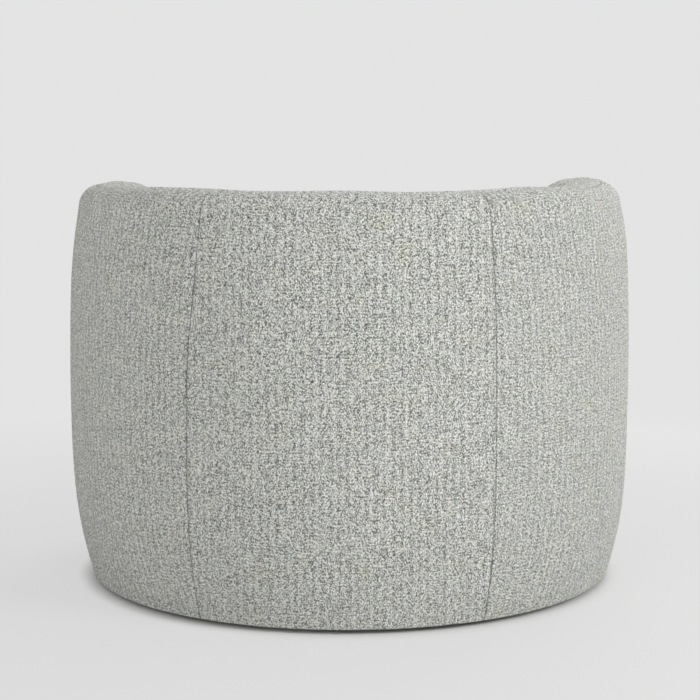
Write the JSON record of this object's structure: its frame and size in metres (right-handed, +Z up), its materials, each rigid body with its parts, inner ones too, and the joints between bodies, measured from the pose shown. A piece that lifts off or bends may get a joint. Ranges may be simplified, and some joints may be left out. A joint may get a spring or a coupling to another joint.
{
  "type": "tub chair",
  "caption": "Low, wide upholstered tub chair: a round barrel back that runs on into both arms, a loose crowned seat cushion, and low glides under the cloth's edge.",
  "frame": {"origin": "on the floor, under the middle of the chair's overall width and depth", "axes": "+X towards the sitter's left, +Y towards the back, +Z up; the chair faces -Y"},
  "size_m": [0.9598, 0.84, 0.671],
  "materials": {
    "cloth": "matte",
    "foam": "matte",
    "pad": "matte",
    "lining": "matte",
    "plywood": "matte",
    "board": "matte",
    "wire": "satin",
    "glide": "matte",
    "zip": "satin"
  },
  "bodies": {
    "chair": {"base_panel": "plywood", "dust_cover": "lining", "glide_1": "glide", "glide_2": "glide", "glide_3": "glide", "glide_4": "glide", "rib_1": "plywood", "rib_2": "plywood", "rib_3": "plywood", "rib_4": "plywood", "rib_5": "plywood", "rib_6": "plywood", "rib_7": "plywood", "top_rail": "plywood", "outer_liner": "board", "inner_liner": "board", "seat_leg_1": "plywood", "seat_leg_2": "plywood", "seat_leg_3": "plywood", "seat_leg_4": "plywood", "front_rail": "plywood", "back_rail": "plywood", "side_rail_left": "plywood", "side_rail_right": "plywood", "deck_panel": "plywood", "spring_strip_front": "wire", "spring_strip_back": "wire", "spring_1": "wire", "spring_2": "wire", "spring_3": "wire", "spring_4": "wire", "spring_5": "wire", "deck_pad": "pad", "deck_cloth": "lining", "outer_foam": "foam", "inside_foam": "foam", "rim_foam": "foam", "arm_front_cover_left": "cloth", "arm_front_foam_left": "foam", "arm_post_left": "plywood", "arm_front_cover_right": "cloth", "arm_front_foam_right": "foam", "arm_post_right": "plywood", "front_border_cover": "cloth", "front_border_foam": "foam", "front_border_board": "board", "front_former_1": "plywood", "front_former_2": "plywood", "front_former_3": "plywood", "outer_back_cover": "cloth", "outer_side_cover_left": "cloth", "outer_side_cover_right": "cloth", "inside_back_cover": "cloth", "inside_arm_cover_left": "cloth", "inside_arm_cover_right": "cloth"},
    "cushion": {"cushion_top_panel": "cloth", "cushion_boxing": "cloth", "cushion_bottom_panel": "cloth", "cushion_foam": "foam"},
    "zip_pull": {"zip_slider": "zip"}
  },
  "joints": [
    {"name": "cushion_lift", "type": "slide", "parent": "chair", "child": "cushion", "axis": [0, 0, 1], "range_m": [0, 0.42]},
    {"name": "zip_slide", "type": "slide", "parent": "cushion", "child": "zip_pull", "axis": [-1, 0, 0], "range_m": [0, 0.275]}
  ]
}
